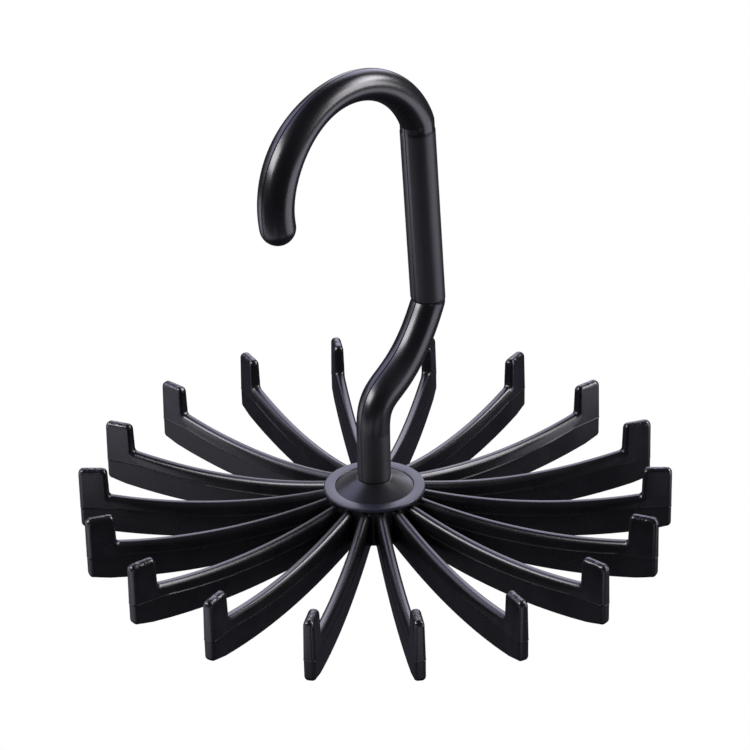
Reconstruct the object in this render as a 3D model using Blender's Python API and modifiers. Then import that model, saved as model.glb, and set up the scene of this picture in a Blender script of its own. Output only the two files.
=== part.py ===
"""Rotating closet hook: a J-shaped hook for a closet rod over a wheel of arms for ties and belts.

Metres, +Z up. The origin is where the rod bears, at the top of the crown's inner side. The hook lies in the
plane of X and Z with its tip towards -X, and the wheel turns on the stem's axis.
"""

from math import asin, cos, pi, radians, sin

import bmesh
import bpy
from mathutils import Vector
from mathutils.geometry import interpolate_bezier

# Hook: the rod's thickness at each stretch, and its path from the tip to the wheel
tip_thickness = 0.0100
crown_thickness = 0.0086
shank_thickness = 0.0097
offset_thickness = 0.0103
neck_thickness = 0.0096
crown_radius = 0.0273
tip_angle = radians(190)
shank_top_angle = radians(21.6)
shank_length = 0.0562
shank_lean = 0.0033
offset_start_angle = radians(24.3)
stem_offset = 0.0063
neck_length = 0.0150
hook_drop = 0.1201
neck_end_round = 0.0012

# Hook: where the thickness changes, how far each end of the offset keeps its direction, the tip's flat
crown_place_shares = (0.0, 0.2, 0.55, 1.0)
offset_place_shares = (0.0, 0.5, 1.0)
offset_pull_share = 0.888
neck_pull_share = 0.505
tip_flat_share = 0.12

# Swivel: the journal under the neck, and the clearances that everything around it keeps
journal_diameter = 0.0064
bearing_clearance = 0.0001
seat_gap = 0.0003

# Hub cover: the round plate with a flat rim and a dished middle that rises to the stem
cover_diameter = 0.0290
lip_thickness = 0.0009
lip_round = 0.0003
rim_width = 0.0033
dish_depth = 0.0006
collar_diameter = 0.0106
collar_rise = 0.0026
spigot_length = 0.0012

# Wheel hub: the barrel that the arms grow out of, with a web that turns on the journal
cover_overhang = 0.0009
barrel_mouth_wall = 0.0015
barrel_wall = 0.0026
web_thickness = 0.0050

# Bottom plug: closes the barrel from below, clear of the screw's head
plug_clearance = 0.0006
plug_thickness = 0.0012
plug_ledge = 0.0010
plug_skirt_wall = 0.0012
plug_skirt_height = 0.0016

# Thrust washer and retaining screw
washer_diameter = 0.0112
washer_thickness = 0.0008
screw_diameter = 0.0030
screw_length = 0.0100
screw_head_diameter = 0.0060
screw_head_height = 0.0018
screw_recess_width = 0.0008
screw_recess_span = 0.0034
screw_recess_depth = 0.0009
pilot_clearance = 0.0001

# Arms: sagging bars on edge, each with an upright prong at its tip
arm_count = 18
first_arm_angle = radians(14.5)
wheel_diameter = 0.1703
arm_thickness = 0.0035
arm_root_depth = 0.0108
arm_tip_depth = 0.0096
arm_top_sag = 0.0030
arm_bottom_sag = 0.0034
arm_tip_drop = 0.0021
prong_width = 0.0088
prong_height = 0.0091
prong_lean = 0.0008
prong_top_round = 0.0013
prong_foot_round = 0.0010
arm_heel_round = 0.0014
arm_edge_chamfer = 0.0006

# Facets, and the distance within which points are one
weld_distance = 0.000001
sharp_angle = radians(30)
hub_sides = 48
screw_sides = 24
rod_ring_resolution = 6
crown_points = 24
offset_points = 14
end_round_points = 5
dish_points = 7
arm_sag_points = 9
corner_points = 4

# Worked out from the sizes above: radii, and heights from the crown down through the hub
tip_radius = tip_thickness / 2
shank_radius = shank_thickness / 2
neck_radius = neck_thickness / 2
journal_radius = journal_diameter / 2
bore_radius = journal_radius + bearing_clearance
pilot_radius = screw_diameter / 2 + pilot_clearance
cover_radius = cover_diameter / 2
barrel_radius = cover_radius - cover_overhang
spigot_radius = barrel_radius - barrel_mouth_wall - seat_gap
crown_centre_z = crown_thickness / 2 - crown_radius
rim_z = -hook_drop
collar_z = rim_z + collar_rise
shoulder_z = collar_z + seat_gap
lip_z = rim_z - lip_thickness
barrel_top_z = lip_z - seat_gap
web_top_z = lip_z - spigot_length - seat_gap
web_bottom_z = web_top_z - web_thickness
washer_top_z = web_bottom_z - seat_gap
washer_bottom_z = washer_top_z - washer_thickness
head_top_z = washer_bottom_z - seat_gap
head_bottom_z = head_top_z - screw_head_height
screw_end_z = washer_bottom_z + screw_length
plug_top_z = head_bottom_z - plug_clearance
barrel_bottom_z = plug_top_z - plug_thickness
arm_root_radius = barrel_radius + seat_gap

plastic_black = (0.012, 0.012, 0.015)
plastic_grey = (0.16, 0.16, 0.19)
nylon_white = (0.72, 0.71, 0.67)
screw_steel = (0.55, 0.55, 0.56)


def clear_scene():
    for obj in list(bpy.data.objects):
        bpy.data.objects.remove(obj)


def new_collection(name):
    collection = bpy.data.collections.new(name)
    bpy.context.scene.collection.children.link(collection)
    return collection


def new_material(name, colour, roughness, metallic=0.0):
    material = bpy.data.materials.new(name)
    material.use_nodes = True
    shader = material.node_tree.nodes["Principled BSDF"]
    shader.inputs["Base Color"].default_value = (*colour, 1.0)
    shader.inputs["Roughness"].default_value = roughness
    shader.inputs["Metallic"].default_value = metallic
    return material


def add_object(name, data, collection, parent=None, material=None):
    obj = bpy.data.objects.new(name, data)
    collection.objects.link(obj)
    obj.parent = parent
    if material is not None:
        data.materials.clear()
        data.materials.append(material)
    return obj


def shade(mesh):
    mesh.shade_smooth()
    mesh.set_sharp_from_angle(angle=sharp_angle)


def evaluated_mesh(obj):
    graph = bpy.context.evaluated_depsgraph_get()
    return bpy.data.meshes.new_from_object(obj.evaluated_get(graph))


def as_mesh(curve_object, collection, material):
    """The mesh object that a curve object makes, with its caps welded on. The curve is removed."""
    mesh = evaluated_mesh(curve_object)
    faces = bmesh.new()
    faces.from_mesh(mesh)
    bmesh.ops.remove_doubles(faces, verts=faces.verts, dist=weld_distance)
    bmesh.ops.recalc_face_normals(faces, faces=faces.faces)
    faces.to_mesh(mesh)
    faces.free()
    name = curve_object.name
    parent = curve_object.parent
    place = curve_object.matrix_world.copy()
    bpy.data.objects.remove(curve_object)
    obj = add_object(name, mesh, collection, parent, material)
    obj.matrix_world = place
    return obj


def turned(name, profile, sides, collection, parent, material=None):
    """A solid turned about the parent's Z axis from (radius, height) points, down the outer side first."""
    mesh = bpy.data.meshes.new(name)
    points = [(radius, 0, height) for radius, height in profile]
    open_at_axis = profile[0][0] == 0 and profile[-1][0] == 0
    links = len(points) - 1 if open_at_axis else len(points)
    edges = [(i, (i + 1) % len(points)) for i in range(links)]
    mesh.from_pydata(points, edges, [])
    obj = add_object(name, mesh, collection, parent, material)
    screw = obj.modifiers.new("turn", "SCREW")
    screw.axis = "Z"
    screw.steps = screw.render_steps = sides
    screw.use_merge_vertices = True
    screw.merge_threshold = weld_distance
    obj.data = evaluated_mesh(obj)
    obj.modifiers.clear()
    shade(obj.data)
    return obj


def quarter(centre, radius, start, points, turn=-pi / 2):
    """Points on a quarter circle from the start angle, clockwise unless the turn says otherwise."""
    angles = [start + turn * i / (points - 1) for i in range(points)]
    return [(centre[0] + radius * cos(angle), centre[1] + radius * sin(angle)) for angle in angles]


def eased(value, places, values):
    """The value read from a table, moving smoothly from one row to the next."""
    for start, end, low, high in zip(places, places[1:], values, values[1:]):
        if value <= end:
            share = (value - start) / (end - start)
            return low + (high - low) * (1 - cos(pi * share)) / 2
    return values[-1]


def crown_point(angle):
    return Vector((crown_radius * cos(angle), crown_centre_z + crown_radius * sin(angle)))


def tip_stretch():
    """The rounded end of the rod: (x, z) and rod radius, from the very end up to the crown."""
    start = crown_point(tip_angle)
    along = Vector((sin(tip_angle), -cos(tip_angle)))
    flat_angle = asin(tip_flat_share)
    stretch = []
    for i in range(end_round_points):
        angle = flat_angle + (pi / 2 - flat_angle) * i / end_round_points
        stretch.append((start - along * tip_radius * cos(angle), tip_radius * sin(angle)))
    return stretch


def crown_stretch():
    radii = (tip_radius, offset_thickness / 2, crown_thickness / 2, shank_radius)
    stretch = []
    for i in range(crown_points):
        share = i / (crown_points - 1)
        angle = tip_angle + (shank_top_angle - tip_angle) * share
        stretch.append((crown_point(angle), eased(share, crown_place_shares, radii)))
    return stretch


def offset_stretch():
    """From the shank's foot in an S back over the stem's axis."""
    top = crown_point(shank_top_angle)
    foot = top + Vector((shank_lean, -shank_length))
    neck_top = Vector((stem_offset, rim_z + collar_rise + neck_length))
    height = foot.y - neck_top.y
    leaning = Vector((sin(offset_start_angle), cos(offset_start_angle)))
    leaving = foot - leaning * height * offset_pull_share
    arriving = neck_top + Vector((0, height * neck_pull_share))
    points = interpolate_bezier(foot, leaving, arriving, neck_top, offset_points)
    radii = (shank_radius, offset_thickness / 2, neck_radius)
    stretch = []
    for i, point in enumerate(points):
        share = i / (offset_points - 1)
        stretch.append((point, eased(share, offset_place_shares, radii)))
    return stretch


def neck_stretch():
    """The neck's lower end, rounded off onto the shoulder that bears on the hub cover."""
    centre = (neck_radius - neck_end_round, shoulder_z + neck_end_round)
    corner = quarter(centre, neck_end_round, 0, corner_points)
    return [(Vector((stem_offset, z)), radius) for radius, z in corner]


def make_rod(collection, material):
    path = tip_stretch() + crown_stretch() + offset_stretch() + neck_stretch()
    curve = bpy.data.curves.new("hook", "CURVE")
    curve.dimensions = "3D"
    curve.twist_mode = "MINIMUM"
    curve.bevel_depth = shank_radius
    curve.bevel_resolution = rod_ring_resolution
    curve.use_fill_caps = True
    spline = curve.splines.new("POLY")
    spline.points.add(len(path) - 1)
    for point, (place, radius) in zip(spline.points, path):
        point.co = (place.x, 0, place.y, 1)
        point.radius = radius / shank_radius
    return as_mesh(add_object("hook", curve, collection), collection, material)


def join(obj, other, operation):
    """Adds the other solid to this one, or cuts it out, and keeps the other as a guide."""
    boolean = obj.modifiers.new(other.name, "BOOLEAN")
    boolean.operation = operation
    boolean.object = other
    boolean.solver = "EXACT"
    other.hide_render = True
    other.display_type = "WIRE"


def rod_profile(radius, top_z, bottom_z):
    return [(0, top_z), (radius, top_z), (radius, bottom_z), (0, bottom_z)]


def make_hook(collection, cutters, stem, material):
    """The bent rod, with the journal that the wheel turns on and the hole for the screw."""
    hook = make_rod(collection, material)
    journal_profile = rod_profile(journal_radius, shoulder_z + neck_end_round, web_bottom_z)
    hole_profile = rod_profile(pilot_radius, screw_end_z + seat_gap, washer_top_z)
    join(hook, turned("journal", journal_profile, hub_sides, cutters, stem), "UNION")
    join(hook, turned("pilot_hole", hole_profile, screw_sides, cutters, stem), "DIFFERENCE")
    shade(hook.data)


def make_washer(collection, stem, material):
    outer = washer_diameter / 2
    profile = [(outer, washer_top_z), (outer, washer_bottom_z)]
    profile += [(pilot_radius, washer_bottom_z), (pilot_radius, washer_top_z)]
    turned("thrust_washer", profile, hub_sides, collection, stem, material)


def make_screw(collection, cutters, stem, material):
    """A pan-head screw standing point up, with a cross recess in its head."""
    head_radius = screw_head_diameter / 2
    head_round = screw_head_height / 2
    thread_radius = screw_diameter / 2
    head_centre = (head_radius - head_round, head_bottom_z + head_round)
    profile = rod_profile(thread_radius, screw_end_z, head_top_z)[:-1]
    profile.append((head_radius, head_top_z))
    profile += quarter(head_centre, head_round, 0, corner_points)
    profile.append((0, head_bottom_z))
    screw = turned("retaining_screw", profile, screw_sides, collection, stem, material)
    for quarter_turns, name in enumerate(("recess_across", "recess_along")):
        mesh = bpy.data.meshes.new(name)
        box = bmesh.new()
        bmesh.ops.create_cube(box, size=1)
        size = (screw_recess_span, screw_recess_width, 2 * screw_recess_depth)
        bmesh.ops.scale(box, vec=size, verts=box.verts)
        box.to_mesh(mesh)
        box.free()
        slot = add_object(name, mesh, cutters, stem)
        slot.location.z = head_bottom_z
        slot.rotation_euler.z = quarter_turns * pi / 2
        join(screw, slot, "DIFFERENCE")


def make_cover(collection, swivel, material):
    """A dish that climbs ever steeper to the collar, a flat rim, a lip, a spigot and a bore."""
    collar_radius = collar_diameter / 2
    dish_radius = cover_radius - rim_width
    dish_z = rim_z - dish_depth
    spigot_z = lip_z - spigot_length
    profile = [(bore_radius, collar_z)]
    for i in range(dish_points):
        share = i / (dish_points - 1)
        radius = collar_radius + (dish_radius - collar_radius) * share
        profile.append((radius, dish_z + (collar_z - dish_z) * (1 - share) ** 2))
    lip_centre = (cover_radius - lip_round, rim_z - lip_round)
    profile.append((dish_radius, rim_z))
    profile += quarter(lip_centre, lip_round, pi / 2, corner_points)
    profile += [(cover_radius, lip_z), (spigot_radius, lip_z)]
    profile += [(spigot_radius, spigot_z), (bore_radius, spigot_z)]
    turned("hub_cover", profile, hub_sides, collection, swivel, material)


def make_hub(collection, swivel, material):
    """The barrel: outer wall, ledge for the plug, hollow under the web, bore and mouth for the spigot."""
    hollow = barrel_radius - barrel_wall
    ledge = hollow + plug_ledge
    ledge_z = plug_top_z + seat_gap
    mouth = spigot_radius + seat_gap
    profile = [(mouth, barrel_top_z), (barrel_radius, barrel_top_z)]
    profile += [(barrel_radius, barrel_bottom_z), (ledge, barrel_bottom_z)]
    profile += [(ledge, ledge_z), (hollow, ledge_z)]
    profile += [(hollow, web_bottom_z), (bore_radius, web_bottom_z)]
    profile += [(bore_radius, web_top_z), (mouth, web_top_z)]
    turned("wheel_hub", profile, hub_sides, collection, swivel, material)


def make_plug(collection, swivel, material):
    """A flat plate on the barrel's ledge, with a skirt up inside."""
    skirt_outer = barrel_radius - barrel_wall - seat_gap
    skirt_inner = skirt_outer - plug_skirt_wall
    skirt_z = plug_top_z + plug_skirt_height
    plate_radius = skirt_outer + plug_ledge
    profile = [(0, plug_top_z), (skirt_inner, plug_top_z)]
    profile += [(skirt_inner, skirt_z), (skirt_outer, skirt_z)]
    profile += [(skirt_outer, plug_top_z), (plate_radius, plug_top_z)]
    profile += [(plate_radius, barrel_bottom_z), (0, barrel_bottom_z)]
    turned("bottom_plug", profile, hub_sides, collection, swivel, material)


def sagging(start, end, sag, points):
    """Points from start to end along a shallow bow that hangs by the sag at its middle."""
    bow = []
    for i in range(points):
        share = i / (points - 1)
        x = start[0] + (end[0] - start[0]) * share
        z = start[1] + (end[1] - start[1]) * share - sag * 4 * share * (1 - share)
        bow.append((x, z))
    return bow


def arm_outline():
    """An arm seen from its side: radius from the stem and height, round the outline once."""
    root_top = (arm_root_radius, barrel_top_z - seat_gap)
    root_bottom = (arm_root_radius, root_top[1] - arm_root_depth)
    tip_x = wheel_diameter / 2
    foot_x = tip_x - prong_width
    foot_z = root_top[1] - arm_tip_drop
    bottom_z = foot_z - arm_tip_depth
    round_z = foot_z + prong_height - prong_top_round

    foot_centre = (foot_x - prong_foot_round, foot_z + prong_foot_round)
    inner_centre = (foot_x + prong_lean + prong_top_round, round_z)
    outer_centre = (tip_x - prong_top_round, round_z)
    heel_centre = (tip_x - arm_heel_round, bottom_z + arm_heel_round)
    foot = quarter(foot_centre, prong_foot_round, -pi / 2, corner_points, turn=pi / 2)
    outline = sagging(root_top, foot[0], arm_top_sag, arm_sag_points) + foot[1:]
    outline += quarter(inner_centre, prong_top_round, pi, corner_points)
    outline += quarter(outer_centre, prong_top_round, pi / 2, corner_points)
    outline += quarter(heel_centre, arm_heel_round, 0, corner_points)
    return outline + sagging(outline[-1], root_bottom, arm_bottom_sag, arm_sag_points)[1:]


def arm_mesh(collection, material):
    """The outline as a flat bar, with its long edges chamfered and its root left square."""
    curve = bpy.data.curves.new("arm", "CURVE")
    curve.dimensions = "2D"
    curve.fill_mode = "BOTH"
    curve.extrude = arm_thickness / 2
    spline = curve.splines.new("POLY")
    outline = arm_outline()
    spline.points.add(len(outline) - 1)
    for point, (x, z) in zip(spline.points, outline):
        point.co = (x, z, 0, 1)
    spline.use_cyclic_u = True
    bar = as_mesh(add_object("arm", curve, collection), collection, material)
    mesh = bar.data
    bpy.data.objects.remove(bar)
    solid = bmesh.new()
    solid.from_mesh(mesh)
    long_edges = []
    for edge in solid.edges:
        at_root = max(corner.co.x for corner in edge.verts) < arm_root_radius + seat_gap
        if edge.calc_face_angle() > pi / 3 and not at_root:
            long_edges.append(edge)
    bmesh.ops.bevel(solid, geom=long_edges, offset=arm_edge_chamfer, segments=1, affect="EDGES")
    solid.to_mesh(mesh)
    solid.free()
    shade(mesh)
    return mesh


def make_arms(collection, swivel, material):
    mesh = arm_mesh(collection, material)
    for i in range(arm_count):
        arm = bpy.data.objects.new(f"arm_{i + 1:02d}", mesh)
        collection.objects.link(arm)
        arm.parent = swivel
        arm.rotation_euler = (pi / 2, 0, first_arm_angle + i * 2 * pi / arm_count)


def axis_empty(name, collection):
    """An empty on the stem's axis, which the pieces around it are parented to."""
    empty = bpy.data.objects.new(name, None)
    empty.location.x = stem_offset
    collection.objects.link(empty)
    return empty


def make_closet_hook():
    clear_scene()
    parts = new_collection("rotating_closet_hook")
    cutters = new_collection("cutters")
    gloss = new_material("gloss_black_plastic", plastic_black, 0.22)
    satin = new_material("satin_black_plastic", plastic_black, 0.34)
    matte = new_material("matte_grey_plastic", plastic_grey, 0.55)
    nylon = new_material("white_nylon", nylon_white, 0.45)
    steel = new_material("zinc_plated_steel", screw_steel, 0.35, 1.0)

    stem = axis_empty("stem_axis", parts)
    make_hook(parts, cutters, stem, gloss)
    make_washer(parts, stem, nylon)
    make_screw(parts, cutters, stem, steel)

    swivel = axis_empty("swivel_axis", parts)
    make_cover(parts, swivel, matte)
    make_hub(parts, swivel, satin)
    make_plug(parts, swivel, satin)
    make_arms(parts, swivel, satin)


make_closet_hook()
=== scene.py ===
"""Looks of the rotating closet hook: a glossy J-shaped hook over a wheel of eighteen black plastic arms."""

from math import atan2, cos, pi, radians, sin, sqrt

import bmesh
import bpy
from mathutils import Matrix, Vector
from mathutils.geometry import interpolate_bezier


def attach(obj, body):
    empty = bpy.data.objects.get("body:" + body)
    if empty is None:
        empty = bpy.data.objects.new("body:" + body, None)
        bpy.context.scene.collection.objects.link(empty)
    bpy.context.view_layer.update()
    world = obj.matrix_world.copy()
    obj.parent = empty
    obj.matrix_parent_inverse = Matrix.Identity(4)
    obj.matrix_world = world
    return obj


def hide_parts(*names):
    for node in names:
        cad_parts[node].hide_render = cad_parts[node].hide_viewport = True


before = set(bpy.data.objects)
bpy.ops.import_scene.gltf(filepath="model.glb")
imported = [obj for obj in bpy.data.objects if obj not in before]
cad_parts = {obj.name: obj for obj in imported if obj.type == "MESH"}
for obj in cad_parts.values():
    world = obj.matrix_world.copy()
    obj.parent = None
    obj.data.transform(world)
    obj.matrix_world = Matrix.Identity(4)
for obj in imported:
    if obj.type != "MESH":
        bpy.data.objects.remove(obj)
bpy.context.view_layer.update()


# Hook: one bent bar of glossy black polystyrene that hangs over the closet rod. The two halves of its mould
# leave a hairline seam along the inside and the outside of the bend, and a raised satin pad with crisp ends
# on each face of the straight shank. Its journal goes down through the wheel's hub.
black_plastic = (0.0035, 0.0035, 0.0042)
black_plastic_worn = (0.006, 0.006, 0.0072)
# The neck's mottle is random tone in the plastic; its lighter level is a painted sheen of the matte neck.
neck_mottle_painted_sheen = (0.007, 0.007, 0.009)
polystyrene_ior = 1.59
flow_scale = 55
flow_detail = 6
flow_roughness = 0.6
tint_starts = 0.35
tint_ends = 0.8
gloss_starts = 0.3
gloss_ends = 0.7
grain_detail = 3

rod_seat_z = 0.0
tip_radius = 0.0050
bend_radius = 0.00515
crown_rod_radius = 0.00428
shank_radius = 0.00485
neck_radius = 0.0048
crown_radius = 0.0273
crown_centre_z = rod_seat_z + crown_rod_radius - crown_radius
crown_places = (0, 0.2, 0.55, 1)
crown_radii = (tip_radius, bend_radius, crown_rod_radius, shank_radius)
tip_angle = radians(190)
shank_top_angle = radians(21.6)
shank_run = Vector((0.0033, 0, -0.0562))
offset_leaving_angle = radians(24.3)
offset_leaving_share = 0.888
offset_arriving_share = 0.505
offset_places = (0, 0.5, 1)
offset_radii = (shank_radius, bend_radius, neck_radius)
crease_reach = 0.0025
stem_x = 0.0063
neck_top_z = -0.1025
shoulder_z = -0.1172
neck_end_round = 0.0003
journal_radius = 0.0032
journal_end_z = -0.1275
screw_hole_radius = 0.0016
screw_hole_top_z = -0.1183

seam_width = 0.00042
seam_depth = 0.00016
pad_rise = 0.00013
pad_end_length = 0.0005
pad_top_gap = 0.0023
pad_bottom_gap = 0.0008
pad_side_start = 0.12
pad_side_end = 0.2

tip_rings = 14
crown_rings = 84
shank_rings = 30
offset_rings = 56
neck_rings = 9
shoulder_rings = 7
half_ring_points = 34
hook_sharp_angle = radians(16)


def eased(value, places, values):
    """A table read with smooth moves from one row to the next."""
    for start, end, low, high in zip(places, places[1:], values, values[1:]):
        if value <= end:
            share = (value - start) / (end - start)
            return low + (high - low) * (1 - cos(pi * share)) / 2
    return values[-1]


def shares(count):
    """Evenly spaced numbers from 0 to 1."""
    return [i / (count - 1) for i in range(count)]


def on_crown(angle):
    """A point on the middle line of the crown, counted from the shank's side."""
    return Vector((crown_radius * cos(angle), 0, crown_centre_z + crown_radius * sin(angle)))


def hook_stations():
    """Down the rod from its tip: middle of the rod, its radius there, how much pad it wears, and its seam."""
    stations = []
    tip_middle = on_crown(tip_angle)
    towards_end = Vector((-sin(tip_angle), 0, cos(tip_angle)))
    for share in shares(tip_rings)[1:-1]:
        angle = share * pi / 2
        middle = tip_middle + towards_end * tip_radius * cos(angle)
        stations.append((middle, tip_radius * sin(angle), 0, sin(angle)))
    for share in shares(crown_rings):
        angle = tip_angle + (shank_top_angle - tip_angle) * share
        stations.append((on_crown(angle), eased(share, crown_places, crown_radii), 0, 1))

    shank_top = on_crown(shank_top_angle)
    foot = shank_top + shank_run
    run = shank_run.length
    pad_ends = (0, pad_top_gap, pad_top_gap + pad_end_length, run - pad_bottom_gap - pad_end_length,
                run - pad_bottom_gap, run)
    for distance in sorted(set(pad_ends[1:-1]) | {run * share for share in shares(shank_rings)[1:-1]}):
        pad = eased(distance, pad_ends, (0, 0, 1, 1, 0, 0))
        stations.append((shank_top + shank_run * distance / run, shank_radius, pad, 1))

    neck_top = Vector((stem_x, 0, neck_top_z))
    drop = foot.z - neck_top.z
    leaving_way = Vector((sin(offset_leaving_angle), 0, cos(offset_leaving_angle)))
    leaving = foot - leaving_way * drop * offset_leaving_share
    arriving = neck_top + Vector((0, 0, drop * offset_arriving_share))
    bent = interpolate_bezier(foot, leaving, arriving, neck_top, offset_rings)
    for share, middle in zip(shares(offset_rings), bent):
        stations.append((middle, eased(share, offset_places, offset_radii), 0, 1))

    for share in shares(neck_rings)[1:-1]:
        z = neck_top_z + (shoulder_z + neck_end_round - neck_top_z) * share
        stations.append((Vector((stem_x, 0, z)), neck_radius, 0, 1))
    for share in shares(shoulder_rings):
        angle = share * pi / 2
        z = shoulder_z + neck_end_round * (1 - sin(angle))
        radius = neck_radius - neck_end_round * (1 - cos(angle))
        stations.append((Vector((stem_x, 0, z)), radius, 0, 1 - share))
    for radius, z in ((journal_radius, shoulder_z), (journal_radius, journal_end_z),
                      (screw_hole_radius, journal_end_z), (screw_hole_radius, screw_hole_top_z)):
        stations.append((Vector((stem_x, 0, z)), radius, 0, 0))
    return stations


def rod_ring(middle, along, radius, pad, seam):
    """One ring of the rod, with its seam on the bend's inner and outer sides and a pad towards each face."""
    across = Vector((0, 1, 0))
    outward = along.cross(across).normalized()
    seam_angle = seam_width / 2 / radius
    half_turn = pi - 2 * seam_angle
    angles = []
    for side in (0, pi):
        angles += [side - seam_angle, side, side + seam_angle]
        angles += [side + seam_angle + half_turn * share for share in shares(half_ring_points)[1:-1]]
    ring = []
    for angle in angles:
        on_seam = abs(sin(angle)) < sin(seam_angle) / 2
        on_pad = eased(abs(sin(angle)), (0, pad_side_start, pad_side_end, 1), (0, 0, 1, 1))
        reach = radius - seam * seam_depth * on_seam + pad * pad_rise * on_pad
        ring.append(middle + outward * cos(angle) * reach + across * sin(angle) * reach)
    return ring


def skin(name, rings, sharp_angle):
    """A closed skin over rings of points, with a fan of faces at each end."""
    count = len(rings[0])
    points = [point for ring in rings for point in ring]
    faces = []
    for start in range(0, (len(rings) - 1) * count, count):
        for i in range(count):
            after = (i + 1) % count
            faces.append((start + i, start + after, start + count + after, start + count + i))
    for ring, start in ((rings[0], 0), (rings[-1], (len(rings) - 1) * count)):
        faces += [(start + i, start + (i + 1) % count, len(points)) for i in range(count)]
        points.append(sum(ring, Vector()) / count)
    return solid(name, points, faces, sharp_angle)


def solid(name, points, faces, sharp_angle):
    """A mesh with its faces turned outwards and smooth, apart from its sharp edges."""
    mesh = bpy.data.meshes.new(name)
    mesh.from_pydata(points, [], faces)
    outwards = bmesh.new()
    outwards.from_mesh(mesh)
    bmesh.ops.recalc_face_normals(outwards, faces=outwards.faces)
    outwards.to_mesh(mesh)
    outwards.free()
    mesh.shade_smooth()
    mesh.set_sharp_from_angle(angle=sharp_angle)
    return mesh


def place(name, mesh, body, replaced, materials, turn=None):
    """Puts a piece where its CAD solid is, riding on that solid's body."""
    piece = bpy.data.objects.new(name, mesh)
    bpy.context.scene.collection.objects.link(piece)
    if turn is not None:
        piece.location.x = stem_x
        piece.rotation_euler.z = turn
    if not mesh.materials:
        for material in materials:
            mesh.materials.append(material)
    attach(piece, body)
    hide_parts(replaced)


def moulded_plastic(name, colour, worn_colour, ior, roughness, roughness_spread, grain_depth, grain_scale,
                    grain_run=1):
    """Moulded plastic: cloudy flow in its colour and gloss, and fine grain as bump, drawn out upwards."""
    material = bpy.data.materials.new(name)
    material.use_nodes = True
    nodes = material.node_tree.nodes
    links = material.node_tree.links
    shader = nodes["Principled BSDF"]
    shader.inputs["IOR"].default_value = ior
    place_on_piece = nodes.new("ShaderNodeTexCoord").outputs["Object"]

    flow = nodes.new("ShaderNodeTexNoise")
    flow.inputs["Scale"].default_value = flow_scale
    flow.inputs["Detail"].default_value = flow_detail
    flow.inputs["Roughness"].default_value = flow_roughness
    links.new(place_on_piece, flow.inputs["Vector"])
    tint = nodes.new("ShaderNodeValToRGB")
    tint.color_ramp.elements[0].position = tint_starts
    tint.color_ramp.elements[0].color = (*colour, 1)
    tint.color_ramp.elements[1].position = tint_ends
    tint.color_ramp.elements[1].color = (*worn_colour, 1)
    links.new(flow.outputs["Fac"], tint.inputs["Fac"])
    links.new(tint.outputs["Color"], shader.inputs["Base Color"])

    gloss = nodes.new("ShaderNodeMapRange")
    gloss.inputs["From Min"].default_value = gloss_starts
    gloss.inputs["From Max"].default_value = gloss_ends
    gloss.inputs["To Min"].default_value = roughness - roughness_spread
    gloss.inputs["To Max"].default_value = roughness + roughness_spread
    links.new(flow.outputs["Fac"], gloss.inputs["Value"])
    links.new(gloss.outputs["Result"], shader.inputs["Roughness"])

    grain = nodes.new("ShaderNodeTexNoise")
    grain.inputs["Scale"].default_value = grain_scale
    grain.inputs["Detail"].default_value = grain_detail
    drawn_out = nodes.new("ShaderNodeMapping")
    drawn_out.inputs["Scale"].default_value = (1, 1, 1 / grain_run)
    links.new(place_on_piece, drawn_out.inputs["Vector"])
    links.new(drawn_out.outputs["Vector"], grain.inputs["Vector"])
    bump = nodes.new("ShaderNodeBump")
    bump.inputs["Distance"].default_value = grain_depth
    links.new(grain.outputs["Fac"], bump.inputs["Height"])
    links.new(bump.outputs["Normal"], shader.inputs["Normal"])
    return material


gloss_black = moulded_plastic("gloss_black_plastic", black_plastic, black_plastic_worn, polystyrene_ior,
                              roughness=0.27, roughness_spread=0.03, grain_depth=0.000006, grain_scale=700)
pad_black = moulded_plastic("satin_pad_plastic", black_plastic, black_plastic_worn, polystyrene_ior,
                            roughness=0.42, roughness_spread=0.03, grain_depth=0.00002, grain_scale=2200)
# The neck's lighter colour is a painted sheen of its matte finish, on top of the random mottle.
neck_black = moulded_plastic("satin_neck_plastic", black_plastic, neck_mottle_painted_sheen, polystyrene_ior,
                             roughness=0.44, roughness_spread=0.04, grain_depth=0.00008, grain_scale=1600,
                             grain_run=40)
hook_finishes = [gloss_black, pad_black, neck_black]

stations = hook_stations()
crease = on_crown(shank_top_angle) + shank_run
crease_facing = shank_run.normalized() - Vector((sin(offset_leaving_angle), 0, cos(offset_leaving_angle)))
rings = []
for i, (middle, radius, pad, seam) in enumerate(stations):
    before = stations[max(i - 1, 0)][0]
    after = stations[min(i + 1, len(stations) - 1)][0]
    along = after - before
    if middle.x == stem_x:
        along = Vector((0, 0, -1))
    to_crease = (middle - crease).length
    if to_crease < crease_reach:
        along = crease_facing.normalized().lerp(along.normalized(), to_crease / crease_reach)
    rings.append(rod_ring(middle, along, radius, pad, seam))
bent_hook = skin("bent_hook", rings, hook_sharp_angle)

sides_of_rod = len(rings[0])
for face in bent_hook.polygons:
    pads_worn = [stations[k // sides_of_rod][2] for k in face.vertices if k < len(stations) * sides_of_rod]
    towards_face = abs(face.center.y) > shank_radius * pad_side_start
    finish = pad_black if min(pads_worn) > 0 and towards_face else gloss_black
    if face.center.z < neck_top_z:
        finish = neck_black
    face.material_index = hook_finishes.index(finish)
place("bent_hook", bent_hook, "hook", "hook", hook_finishes)


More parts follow.
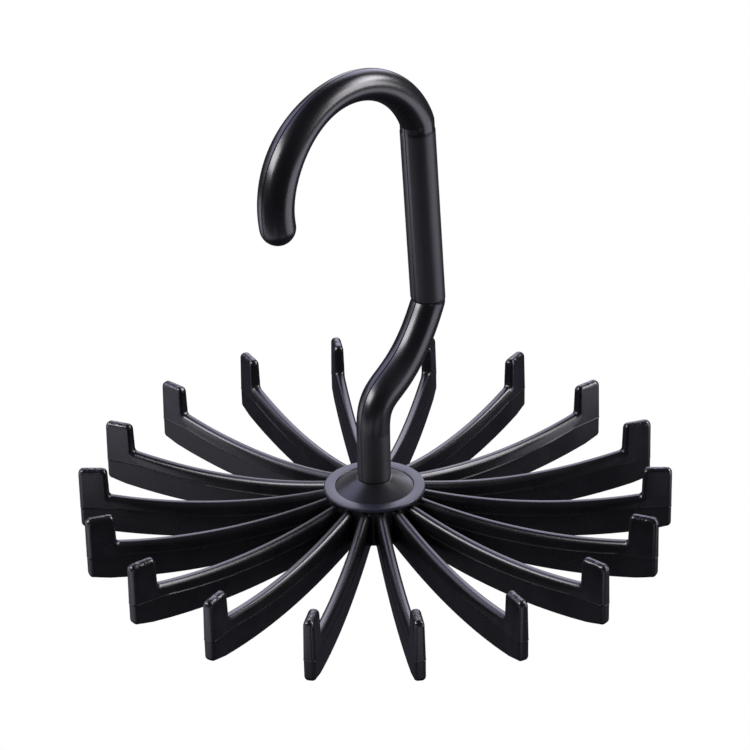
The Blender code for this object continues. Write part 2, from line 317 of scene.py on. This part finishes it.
# Arms: eighteen satin black plastic bars on edge that sag a little and end in an upright prong, moulded in
# one with the hub. They are thickest where the mould parts, a little over half way up, with a domed top above
# that line and crisp edges below it. One is modelled, and the others are the same mesh, turned step by step.
arm_count = 18
first_arm_angle = radians(14.5)
arm_half_thickness = 0.00175
upper_draft = 0.022
lower_draft = 0.004
arm_root_x = 0.0132
barrel_radius = 0.0136
root_flare = 0.0002
root_flare_length = 0.0011
flare_stations = (0.01375, 0.0139, 0.0141, 0.01435, 0.0147)
arm_curve_start_x = 0.0139
root_top_z = -0.1216
root_bottom_z = -0.1324
foot_x = 0.07635
foot_z = -0.1234
tip_x = 0.08486
tip_bottom_z = -0.1333
top_sag = 0.0030
bottom_sag = 0.00337
bar_start_x = 0.0155
bar_end_gap = 0.0008
bar_stations = 42
foot_round = 0.0010
prong_top_z = -0.1146
prong_top_round = 0.0016
prong_lean = 0.0002
heel_round = 0.0014
heel_length = 0.0045
heel_steps = 5
arc_points = 7
edge_steps = 8
arm_sharp_angle = radians(16)

parting_share_at_root = 0.54
parting_share_at_foot = 0.69
parting_width = 0.00050
parting_rise = 0.00012
parting_rise_at_tip = 0.00005
lower_step = 0.00004
top_edge_share = 0.85
top_edge_width = 0.00165
top_edge_fullness = 0.75
top_flat_half_width = 0.00003
prong_edge = (0.0012, 0.0012, 1)
prong_top_edge = (0.0013, 0.0014, 1)
bottom_edge = (0.0004, 0.0004, 1)

arm_plastic_ior = 1.55
prong_worn = (0.010, 0.010, 0.0125)
scar_scale = 700
scar_detail = 2
scar_reach = 0.0012
scar_full_reach = 0.0003
scar_depth = 0.0004


def sagged(share, start_z, end_z, sag):
    """The height on a line from one end to the other that hangs down between them, by its sag half way."""
    return start_z + (end_z - start_z) * share - sag * 4 * share * (1 - share)


def arm_top_z(x):
    share = (x - arm_curve_start_x) / (foot_x - foot_round - arm_curve_start_x)
    return sagged(max(share, 0), root_top_z, foot_z, top_sag)


def arm_bottom_z(x):
    share = (x - arm_curve_start_x) / (tip_x - heel_round - arm_curve_start_x)
    return sagged(min(max(share, 0), 1), root_bottom_z, tip_bottom_z, bottom_sag)


def parting_z(x):
    """The mould's parting line follows the bar, and runs level through the prong."""
    x = min(x, foot_x)
    low = arm_bottom_z(x)
    out = x / foot_x
    share = parting_share_at_root + (parting_share_at_foot - parting_share_at_root) * out
    return low + (arm_top_z(min(x, foot_x - foot_round)) - low) * share


def top_edge(x):
    """The bar's top is a full dome, rounded nearly down to the parting line."""
    return (arm_top_z(x) - parting_z(x)) * top_edge_share, top_edge_width, top_edge_fullness


def half_thickness(x, z):
    """Thickest at the parting line, thinner above and below it, and flared where the bar meets the hub."""
    above = z - parting_z(x)
    draft = above * upper_draft if above > 0 else -above * lower_draft
    into_flare = max(0.0, 1 - (x - barrel_radius) / root_flare_length)
    flare = root_flare * (1 - sqrt(max(0.0, 1 - min(into_flare, 1) ** 2)))
    step = lower_step if above < 0 else 0
    return arm_half_thickness - draft - step + flare


def arc(centre_x, centre_z, radius, start, end, count):
    """Points round part of a circle."""
    angles = [start + (end - start) * share for share in shares(count)]
    return [(centre_x + radius * cos(angle), centre_z + radius * sin(angle)) for angle in angles]


def between(edge, other, share):
    """A rounding part of the way from one to another."""
    return tuple(a + (b - a) * share for a, b in zip(edge, other))


def arm_outline(bar_xs):
    """The arm from the side, root to prong and back: (x, z, how far in and across its edge is rounded)."""
    parting = parting_z(tip_x)
    outline = [(x, arm_top_z(x), top_edge(x)) for x in bar_xs]
    foot = arc(foot_x - foot_round, foot_z + foot_round, foot_round, -pi / 2, 0, arc_points)
    for share, (x, z) in zip(shares(arc_points), foot):
        outline.append((x, z, between(top_edge(foot_x - foot_round), prong_edge, share)))
    inner_x = foot_x + prong_lean + prong_top_round
    round_z = prong_top_z - prong_top_round
    inner_corner = arc(inner_x, round_z, prong_top_round, pi, pi / 2, arc_points)
    outer_corner = arc(tip_x - prong_top_round, round_z, prong_top_round, pi / 2, 0, arc_points)
    for share, (x, z) in zip(shares(arc_points), inner_corner):
        outline.append((x, z, between(prong_edge, prong_top_edge, share)))
    for share, (x, z) in zip(shares(arc_points), outer_corner):
        outline.append((x, z, between(prong_top_edge, prong_edge, share)))
    outline.append((tip_x, parting + parting_width / 2, prong_edge))
    outline.append((tip_x + parting_rise_at_tip, parting, prong_edge))
    outline.append((tip_x - lower_step, parting - parting_width / 2, prong_edge))
    heel = arc(tip_x - lower_step - heel_round, tip_bottom_z + heel_round, heel_round, 0, -pi / 2, arc_points)
    outline += [(x, z, prong_edge) for x, z in heel]
    for share in shares(heel_steps + 1)[1:]:
        x = tip_x - heel_round - heel_length * share
        outline.append((x, arm_bottom_z(x), between(prong_edge, bottom_edge, share)))
    outline += [(x, arm_bottom_z(x), bottom_edge) for x in reversed(bar_xs)]
    return outline


def rounded_edge(outline, i):
    """The points over the arm's edge at one place of its outline, from one side of the arm to the other."""
    x, z, (inwards, across, fullness) = outline[i]
    before = outline[max(i - 1, 0)]
    after = outline[min(i + 1, len(outline) - 1)]
    heading = Vector((after[0] - before[0], after[1] - before[1])).normalized()
    inward = Vector((heading.y, -heading.x))
    half = half_thickness(x, z) + (parting_rise_at_tip if x > tip_x else 0)
    across = min(across, half - top_flat_half_width)
    even = 1 / (2 - fullness)
    ring = []
    for share in shares(edge_steps + 1):
        turned_by = share * pi / 2
        angle = atan2((inwards * sin(turned_by)) ** even, (across * max(cos(turned_by), 0)) ** even)
        inset = inward * inwards * (1 - sin(angle) ** fullness)
        ring.append((x + inset.x, half - across * (1 - max(cos(angle), 0) ** fullness), z + inset.y))
    return ring + [(rx, -ry, rz) for rx, ry, rz in reversed(ring)]


def arm_mesh():
    """Rounded edges all along the outline, with quads down the bar's sides and large flats on the prong's."""
    bar_end_x = foot_x - foot_round - bar_end_gap
    bar_xs = [arm_root_x, barrel_radius, *flare_stations]
    bar_xs += [bar_start_x + (bar_end_x - bar_start_x) * share for share in shares(bar_stations)]
    outline = arm_outline(bar_xs)
    count = len(outline)
    points = []
    faces = []

    edge_rings = []
    for i in range(count):
        ring = rounded_edge(outline, i)
        edge_rings.append(range(len(points), len(points) + len(ring)))
        points += ring
    for ring, following in zip(edge_rings, edge_rings[1:]):
        for i in range(len(ring) - 1):
            faces.append((ring[i], ring[i + 1], following[i + 1], following[i]))

    bar_count = len(bar_xs)
    low_end = count - bar_count - heel_steps - arc_points - 1
    ridge_end = low_end - 1
    high_end = ridge_end - 1
    half_parting = parting_width / 2
    parting_lines = (("high", 0, half_parting), ("ridge", parting_rise, 0), ("low", 0, -half_parting))
    root_lines = []
    for side, at in ((1, 0), (-1, -1)):
        lines = {}
        for line, rise, lift in parting_lines:
            lines[line] = []
            for x in bar_xs:
                z = parting_z(x) + lift
                lines[line].append(len(points))
                points.append((x, side * (half_thickness(x, z) + rise), z))
        top_line = [ring[at] for ring in edge_rings[:bar_count]]
        bottom_line = [ring[at] for ring in reversed(edge_rings[-bar_count:])]
        stack = (bottom_line, lines["low"], lines["ridge"], lines["high"], top_line)
        for lower, upper in zip(stack, stack[1:]):
            for i in range(bar_count - 1):
                faces.append((lower[i], lower[i + 1], upper[i + 1], upper[i]))
        outer = [edge_rings[k][at] for k in (high_end, ridge_end, low_end)]
        prong_side = [edge_rings[k][at] for k in range(bar_count, high_end + 1)]
        heel_side = [edge_rings[k][at] for k in range(low_end, count - bar_count)]
        faces.append([top_line[-1], *prong_side, lines["high"][-1]])
        faces.append((lines["high"][-1], outer[0], outer[1], lines["ridge"][-1]))
        faces.append((lines["ridge"][-1], outer[1], outer[2], lines["low"][-1]))
        faces.append([lines["low"][-1], *heel_side, bottom_line[-1]])
        root_lines.append([lines[line][0] for line in ("high", "ridge", "low")])
    faces.append([*edge_rings[0], *root_lines[1], *edge_rings[-1][::-1], *reversed(root_lines[0])])
    return solid("arm", points, faces, arm_sharp_angle)


def scar_tops(material):
    """The ejector pins leave an uneven mark on top of each prong, no two alike."""
    nodes = material.node_tree.nodes
    links = material.node_tree.links
    marks = nodes.new("ShaderNodeTexNoise")
    marks.noise_dimensions = "4D"
    marks.inputs["Scale"].default_value = scar_scale
    marks.inputs["Detail"].default_value = scar_detail
    place_on_arm = nodes.new("ShaderNodeTexCoord").outputs["Object"]
    links.new(place_on_arm, marks.inputs["Vector"])
    own_number = nodes.new("ShaderNodeMath")
    own_number.operation = "MULTIPLY"
    own_number.inputs[1].default_value = arm_count
    links.new(nodes.new("ShaderNodeObjectInfo").outputs["Random"], own_number.inputs[0])
    links.new(own_number.outputs["Value"], marks.inputs["W"])
    height = nodes.new("ShaderNodeSeparateXYZ")
    links.new(place_on_arm, height.inputs["Vector"])
    near_top = nodes.new("ShaderNodeMapRange")
    near_top.inputs["From Min"].default_value = prong_top_z - scar_reach
    near_top.inputs["From Max"].default_value = prong_top_z - scar_full_reach
    links.new(height.outputs["Z"], near_top.inputs["Value"])
    scar = nodes.new("ShaderNodeMath")
    scar.operation = "MULTIPLY"
    links.new(marks.outputs["Fac"], scar.inputs[0])
    links.new(near_top.outputs["Result"], scar.inputs[1])
    bump = nodes.new("ShaderNodeBump")
    bump.inputs["Distance"].default_value = scar_depth
    links.new(scar.outputs["Value"], bump.inputs["Height"])
    grain_bump = nodes["Bump"]
    links.new(grain_bump.outputs["Normal"], bump.inputs["Normal"])
    links.new(bump.outputs["Normal"], nodes["Principled BSDF"].inputs["Normal"])


def weighted(mesh):
    """The mesh with its normals taken from its larger faces, so that flats look flat up to their edges."""
    holder = bpy.data.objects.new("holder", mesh)
    bpy.context.scene.collection.objects.link(holder)
    normals = holder.modifiers.new("normals", "WEIGHTED_NORMAL")
    normals.keep_sharp = True
    made = bpy.data.meshes.new_from_object(holder.evaluated_get(bpy.context.evaluated_depsgraph_get()))
    bpy.data.objects.remove(holder)
    made.name = mesh.name
    return made


satin_black = moulded_plastic("satin_black_plastic", black_plastic, black_plastic_worn, arm_plastic_ior,
                              roughness=0.27, roughness_spread=0.04, grain_depth=0.000004, grain_scale=900)
prong_black = moulded_plastic("prong_black_plastic", black_plastic, prong_worn, arm_plastic_ior,
                              roughness=0.24, roughness_spread=0.04, grain_depth=0.000006, grain_scale=900)
scar_tops(prong_black)
arm_finishes = [satin_black, prong_black]

arm = weighted(arm_mesh())
for face in arm.polygons:
    on_prong = face.center.x > foot_x and face.center.z > foot_z
    face.material_index = arm_finishes.index(prong_black if on_prong else satin_black)
for i in range(arm_count):
    place(f"pronged_arm_{i + 1:02d}", arm, "wheel", f"arm_{i + 1:02d}", arm_finishes,
          turn=first_arm_angle + i * 2 * pi / arm_count)


# Hub barrel: the wheel's middle, in the same satin black moulding as the arms. It is hollow below, with a
# ledge for the plug, and a web across it turns on the hook's journal.
turned_sides = 144
turned_sharp_angle = radians(40)
corner_points = 5
barrel_top_z = -0.1213
barrel_bottom_z = -0.1325
barrel_mouth_radius = 0.0121
barrel_hollow_radius = 0.0110
plug_ledge_radius = 0.0120
plug_ledge_z = -0.1310
barrel_edge_round = 0.0004
web_top_z = -0.1225
web_bottom_z = -0.1275
bore_radius = 0.0033


def turned(name, profile):
    """A closed skin turned about the stem from (radius, height) points, in order round its section."""
    points = []
    rows = []
    for radius, z in profile:
        if radius == 0:
            rows.append([len(points)] * turned_sides)
            points.append((stem_x, 0, z))
            continue
        rows.append(range(len(points), len(points) + turned_sides))
        for i in range(turned_sides):
            angle = i * 2 * pi / turned_sides
            points.append((stem_x + radius * cos(angle), radius * sin(angle), z))
    on_axis = profile[0][0] == 0
    pairs = list(zip(rows, rows[1:])) if on_axis else list(zip(rows, rows[1:] + rows[:1]))
    faces = []
    for row, following in pairs:
        for i in range(turned_sides):
            after = (i + 1) % turned_sides
            corners = (row[i], row[after], following[after], following[i])
            faces.append(tuple(dict.fromkeys(corners)))
    return solid(name, points, faces, turned_sharp_angle)


def rounded(corner, radius, start):
    """Points clockwise round a corner of a section, given the middle of the rounding."""
    return arc(corner[0], corner[1], radius, start, start - pi / 2, corner_points)


barrel_edge = (barrel_radius - barrel_edge_round, barrel_bottom_z + barrel_edge_round)
barrel_profile = [(barrel_mouth_radius, barrel_top_z), (barrel_radius, barrel_top_z)]
barrel_profile += rounded(barrel_edge, barrel_edge_round, 0)
barrel_profile += [(plug_ledge_radius, barrel_bottom_z), (plug_ledge_radius, plug_ledge_z)]
barrel_profile += [(barrel_hollow_radius, plug_ledge_z), (barrel_hollow_radius, web_bottom_z)]
barrel_profile += [(bore_radius, web_bottom_z), (bore_radius, web_top_z), (barrel_mouth_radius, web_top_z)]
barrel = turned("hub_barrel", barrel_profile)
place("hub_barrel", barrel, "wheel", "wheel_hub", [satin_black])


# Hub cover: a round plate of dark plastic, pressed by its spigot into the barrel's mouth. Its flat rim is
# finely grained, and its dark grey is tinted violet as a painted sheen of the cool light above it. Inside it
# a smooth dish climbs, a little steeper near the stem, to a collar round it.
cover_radius = 0.0145
rim_z = -0.1201
lip_z = -0.1210
lip_round = 0.0003
dish_radius = 0.0112
dish_edge_round = 0.0002
dish_z = -0.12035
dish_slope_share = 0.85
dish_steps = 26
collar_radius = 0.0049
collar_z = -0.1173
spigot_radius = 0.0118
spigot_z = -0.1222

# The rim's colour is the plate's own dark grey, tinted violet as a painted sheen of the cool light from
# above.
rim_grey_painted_sheen = (0.006, 0.007, 0.013)
rim_mottle_painted_sheen = (0.011, 0.013, 0.023)


def cover_profile():
    """From the collar down the dish, up onto the rim, over the lip and back underneath to the bore."""
    profile = [(bore_radius, collar_z)]
    for share in shares(dish_steps):
        radius = collar_radius + (dish_radius - collar_radius) * share
        left = 1 - share
        climb = dish_slope_share * left + (1 - dish_slope_share) * left ** 2
        profile.append((radius, dish_z + (collar_z - dish_z) * climb))
    profile += rounded((dish_radius + dish_edge_round, rim_z - dish_edge_round), dish_edge_round, pi)
    profile += rounded((cover_radius - lip_round, rim_z - lip_round), lip_round, pi / 2)
    profile += [(cover_radius, lip_z), (spigot_radius, lip_z)]
    profile += [(spigot_radius, spigot_z), (bore_radius, spigot_z)]
    return profile


# The rim's finish carries that violet painted sheen in its base colour.
grained_black = moulded_plastic("grained_black_plastic", rim_grey_painted_sheen, rim_mottle_painted_sheen, arm_plastic_ior,
                                roughness=0.36, roughness_spread=0.04, grain_depth=0.00003, grain_scale=3000)
dish_black = moulded_plastic("dish_black_plastic", black_plastic, black_plastic_worn, arm_plastic_ior,
                             roughness=0.30, roughness_spread=0.03, grain_depth=0.00001, grain_scale=1800)
cover_finishes = [grained_black, dish_black]

cover = turned("hub_cover_plate", cover_profile())
for face in cover.polygons:
    corners = [cover.vertices[k].co for k in face.vertices]
    height = sum(corner.z for corner in corners) / len(corners)
    reach = max(Vector((corner.x - stem_x, corner.y)).length for corner in corners)
    on_rim = reach > dish_radius + dish_edge_round and height > lip_z
    face.material_index = cover_finishes.index(grained_black if on_rim else dish_black)
place("hub_cover_plate", cover, "wheel", "hub_cover", cover_finishes)


# Bottom plug: a plain moulded disc of the wheel's black plastic that closes the hub from below and hides the
# screw. It is pressed up against the ledge in the barrel's mouth, with a short skirt inside.
plug_top_z = -0.1313
plug_radius = 0.0117
plug_skirt_outer = 0.0107
plug_skirt_inner = 0.0095
plug_skirt_z = -0.1297
plug_edge_round = 0.0003

plug_edge = (plug_radius - plug_edge_round, barrel_bottom_z + plug_edge_round)
plug_profile = [(0, plug_top_z), (plug_skirt_inner, plug_top_z), (plug_skirt_inner, plug_skirt_z)]
plug_profile += [(plug_skirt_outer, plug_skirt_z), (plug_skirt_outer, plug_top_z), (plug_radius, plug_top_z)]
plug_profile += rounded(plug_edge, plug_edge_round, 0)
plug_profile += [(0, barrel_bottom_z)]
plug = turned("plug_disc", plug_profile)
place("plug_disc", plug, "wheel", "bottom_plug", [satin_black])


# Thrust washer: a flat ring of natural nylon, slippery without grease. The screw holds it below the end of
# the journal, and the web of the wheel runs on it.
washer_white = (0.72, 0.71, 0.66)
washer_shade = (0.62, 0.60, 0.54)
nylon_ior = 1.53
washer_radius = 0.0056
washer_top_z = -0.1278
washer_bottom_z = -0.1286

washer_profile = [(washer_radius, washer_top_z), (washer_radius, washer_bottom_z)]
washer_profile += [(screw_hole_radius, washer_bottom_z), (screw_hole_radius, washer_top_z)]
nylon = moulded_plastic("natural_nylon", washer_white, washer_shade, nylon_ior,
                        roughness=0.45, roughness_spread=0.05, grain_depth=0.00001, grain_scale=900)
washer = turned("nylon_washer", washer_profile)
place("nylon_washer", washer, "hook", "thrust_washer", [nylon])


# Retaining screw: a pan-head screw of zinc-plated steel, driven up into the journal from below. Its head
# holds the washer, and so the wheel. The solid from the CAD is right as it is and gets its finish here.
zinc = (0.55, 0.55, 0.56)
zinc_bright = (0.68, 0.67, 0.64)
turning_mark_scale = 2500
zinc_roughness_least = 0.25
zinc_roughness_most = 0.42


def plated_steel():
    """Bright zinc with fine marks from turning."""
    material = bpy.data.materials.new("zinc_plated_steel")
    material.use_nodes = True
    nodes = material.node_tree.nodes
    links = material.node_tree.links
    shader = nodes["Principled BSDF"]
    shader.inputs["Metallic"].default_value = 1
    marks = nodes.new("ShaderNodeTexNoise")
    marks.inputs["Scale"].default_value = turning_mark_scale
    tint = nodes.new("ShaderNodeValToRGB")
    tint.color_ramp.elements[0].color = (*zinc, 1)
    tint.color_ramp.elements[1].color = (*zinc_bright, 1)
    links.new(nodes.new("ShaderNodeTexCoord").outputs["Object"], marks.inputs["Vector"])
    links.new(marks.outputs["Fac"], tint.inputs["Fac"])
    links.new(tint.outputs["Color"], shader.inputs["Base Color"])
    gloss = nodes.new("ShaderNodeMapRange")
    gloss.inputs["To Min"].default_value = zinc_roughness_least
    gloss.inputs["To Max"].default_value = zinc_roughness_most
    links.new(marks.outputs["Fac"], gloss.inputs["Value"])
    links.new(gloss.outputs["Result"], shader.inputs["Roughness"])
    return material


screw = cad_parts["retaining_screw"]
screw.data.materials.clear()
screw.data.materials.append(plated_steel())


# Studio: the hook hangs in the air over a pale floor, with large softboxes at its sides and behind it, and
# small cards close to the wheel that lift its dark sides. The camera stands where the photo was taken from.
# The room is white for the camera, and for glossy rays where the backdrop stands behind the hook.
object_middle = Vector((stem_x, 0, -0.0620))
wheel_middle = Vector((stem_x, 0, -0.1240))
camera_azimuth = radians(-43)
camera_elevation = radians(27.55)
camera_roll = radians(-1.3)
camera_aim = Vector((0.01532, 0.00842, -0.0911))
camera_distance = 0.9502
camera_lens = 159.8
camera_sensor_width = 36

camera = bpy.data.objects.new("camera", bpy.data.cameras.new("camera"))
bpy.context.scene.collection.objects.link(camera)
camera.data.lens = camera_lens
camera.data.sensor_width = camera_sensor_width
camera_turn = Matrix.Rotation(camera_azimuth, 4, "Z") @ Matrix.Rotation(pi / 2 - camera_elevation, 4, "X")
backwards = (camera_turn @ Vector((0, 0, 1))).normalized()
camera.matrix_world = (Matrix.Translation(camera_aim + backwards * camera_distance) @ camera_turn
                       @ Matrix.Rotation(camera_roll, 4, "Z"))
bpy.context.scene.camera = camera


def direction(azimuth, elevation):
    """A direction in degrees, with its azimuth counted from the camera's side, to the right."""
    around = camera_azimuth + radians(azimuth)
    rise = radians(elevation)
    return Vector((sin(around) * cos(rise), -cos(around) * cos(rise), sin(rise)))


def softbox(name, azimuth, elevation, size, brightness, colour, distance=1.0, facing=object_middle):
    """A soft rectangular lamp facing a point."""
    towards = direction(azimuth, elevation)
    lamp = bpy.data.lights.new(name, "AREA")
    lamp.shape = "RECTANGLE"
    lamp.size, lamp.size_y = size
    lamp.energy = brightness * pi * size[0] * size[1]
    lamp.color = colour
    holder = bpy.data.objects.new(name, lamp)
    bpy.context.scene.collection.objects.link(holder)
    holder.location = facing + towards * distance
    holder.rotation_euler = towards.to_track_quat("Z", "Y").to_euler()
    holder.visible_camera = False


warm_white = (1.0, 0.97, 1.02)
pale_violet = (0.96, 0.94, 1.10)
cool_white = (0.86, 0.85, 1.27)
softbox("right_softbox", azimuth=83, elevation=19, size=(0.40, 0.62), brightness=8.8, colour=warm_white)
softbox("right_rear_softbox", azimuth=105, elevation=38, size=(0.50, 0.42), brightness=6.5, colour=warm_white)
softbox("right_spot", azimuth=106, elevation=31, size=(0.30, 0.30), brightness=9.0, colour=warm_white)
softbox("left_softbox", azimuth=-70, elevation=29, size=(0.66, 0.42), brightness=12.0, colour=warm_white)
softbox("left_rear_softbox", azimuth=-118, elevation=38, size=(0.95, 0.80), brightness=1.7, colour=cool_white)
softbox("back_softbox", azimuth=174, elevation=28, size=(0.56, 0.80), brightness=1.7, colour=cool_white)
softbox("left_side_softbox", azimuth=-105, elevation=12, size=(0.50, 0.40), brightness=0.7, colour=warm_white)
softbox("right_card", azimuth=82, elevation=-18, size=(0.30, 0.12), brightness=2.0, colour=pale_violet,
        distance=0.31)
softbox("left_card", azimuth=-98, elevation=-16, size=(0.18, 0.10), brightness=1.5, colour=pale_violet,
        distance=0.26)
softbox("low_left_card", azimuth=-82, elevation=-20, size=(0.22, 0.08), brightness=0.4, colour=pale_violet,
        distance=0.21, facing=wheel_middle)
softbox("low_front_card", azimuth=-42, elevation=-13, size=(0.24, 0.035), brightness=1.1, colour=pale_violet,
        distance=0.175, facing=wheel_middle)
softbox("low_right_card", azimuth=20, elevation=-13, size=(0.12, 0.035), brightness=0.8, colour=pale_violet,
        distance=0.175, facing=wheel_middle)

floor_z = -0.45
floor_radius = 0.34
floor_sides = 128
floor_colour = (0.82, 0.82, 0.76)
floor_roughness = 0.9

floor_mesh = bpy.data.meshes.new("floor")
floor_disc = bmesh.new()
bmesh.ops.create_circle(floor_disc, cap_ends=True, radius=floor_radius, segments=floor_sides)
floor_disc.to_mesh(floor_mesh)
floor_disc.free()
floor = bpy.data.objects.new("floor", floor_mesh)
bpy.context.scene.collection.objects.link(floor)
floor.location = (stem_x, 0, floor_z)
floor.visible_glossy = False
pale = bpy.data.materials.new("pale_floor")
pale.use_nodes = True
nodes = pale.node_tree.nodes
links = pale.node_tree.links
nodes["Principled BSDF"].inputs["Base Color"].default_value = (*floor_colour, 1)
nodes["Principled BSDF"].inputs["Roughness"].default_value = floor_roughness
one_sided = nodes.new("ShaderNodeMixShader")
links.new(nodes.new("ShaderNodeNewGeometry").outputs["Backfacing"], one_sided.inputs["Fac"])
links.new(nodes["Principled BSDF"].outputs["BSDF"], one_sided.inputs[1])
links.new(nodes.new("ShaderNodeBsdfTransparent").outputs["BSDF"], one_sided.inputs[2])
links.new(one_sided.outputs["Shader"], nodes["Material Output"].inputs["Surface"])
floor_mesh.materials.append(pale)

backdrop_azimuth = 174
backdrop_elevation = 25
backdrop_reach = radians(25)
backdrop_fade = radians(8)
backdrop_colour = (1, 1, 1)
backdrop_brightness = 1
room_colour = (0.85, 0.82, 1.15)
room_brightness = 0.048

world = bpy.data.worlds.new("studio")
bpy.context.scene.world = world
world.use_nodes = True
nodes = world.node_tree.nodes
links = world.node_tree.links
nodes.clear()
rays = nodes.new("ShaderNodeLightPath")
seen_through = nodes.new("ShaderNodeMath")
seen_through.operation = "MAXIMUM"
links.new(rays.outputs["Is Camera Ray"], seen_through.inputs[0])
links.new(rays.outputs["Is Transmission Ray"], seen_through.inputs[1])
towards_backdrop = nodes.new("ShaderNodeVectorMath")
towards_backdrop.operation = "DOT_PRODUCT"
towards_backdrop.inputs[1].default_value = direction(backdrop_azimuth, backdrop_elevation)
links.new(nodes.new("ShaderNodeTexCoord").outputs["Generated"], towards_backdrop.inputs[0])
on_backdrop = nodes.new("ShaderNodeMapRange")
on_backdrop.interpolation_type = "SMOOTHSTEP"
on_backdrop.inputs["From Min"].default_value = cos(backdrop_reach + backdrop_fade)
on_backdrop.inputs["From Max"].default_value = cos(backdrop_reach - backdrop_fade)
links.new(towards_backdrop.outputs["Value"], on_backdrop.inputs["Value"])
mirrored = nodes.new("ShaderNodeMath")
mirrored.operation = "MULTIPLY"
links.new(rays.outputs["Is Glossy Ray"], mirrored.inputs[0])
links.new(on_backdrop.outputs["Result"], mirrored.inputs[1])
seen = nodes.new("ShaderNodeMath")
seen.operation = "MAXIMUM"
links.new(seen_through.outputs["Value"], seen.inputs[0])
links.new(mirrored.outputs["Value"], seen.inputs[1])
backdrop = nodes.new("ShaderNodeBackground")
backdrop.inputs["Color"].default_value = (*backdrop_colour, 1)
backdrop.inputs["Strength"].default_value = backdrop_brightness
room = nodes.new("ShaderNodeBackground")
room.inputs["Color"].default_value = (*room_colour, 1)
room.inputs["Strength"].default_value = room_brightness
either = nodes.new("ShaderNodeMixShader")
links.new(seen.outputs["Value"], either.inputs["Fac"])
links.new(room.outputs["Background"], either.inputs[1])
links.new(backdrop.outputs["Background"], either.inputs[2])
links.new(either.outputs["Shader"], nodes.new("ShaderNodeOutputWorld").inputs["Surface"])

bpy.context.scene.view_settings.view_transform = "Standard"
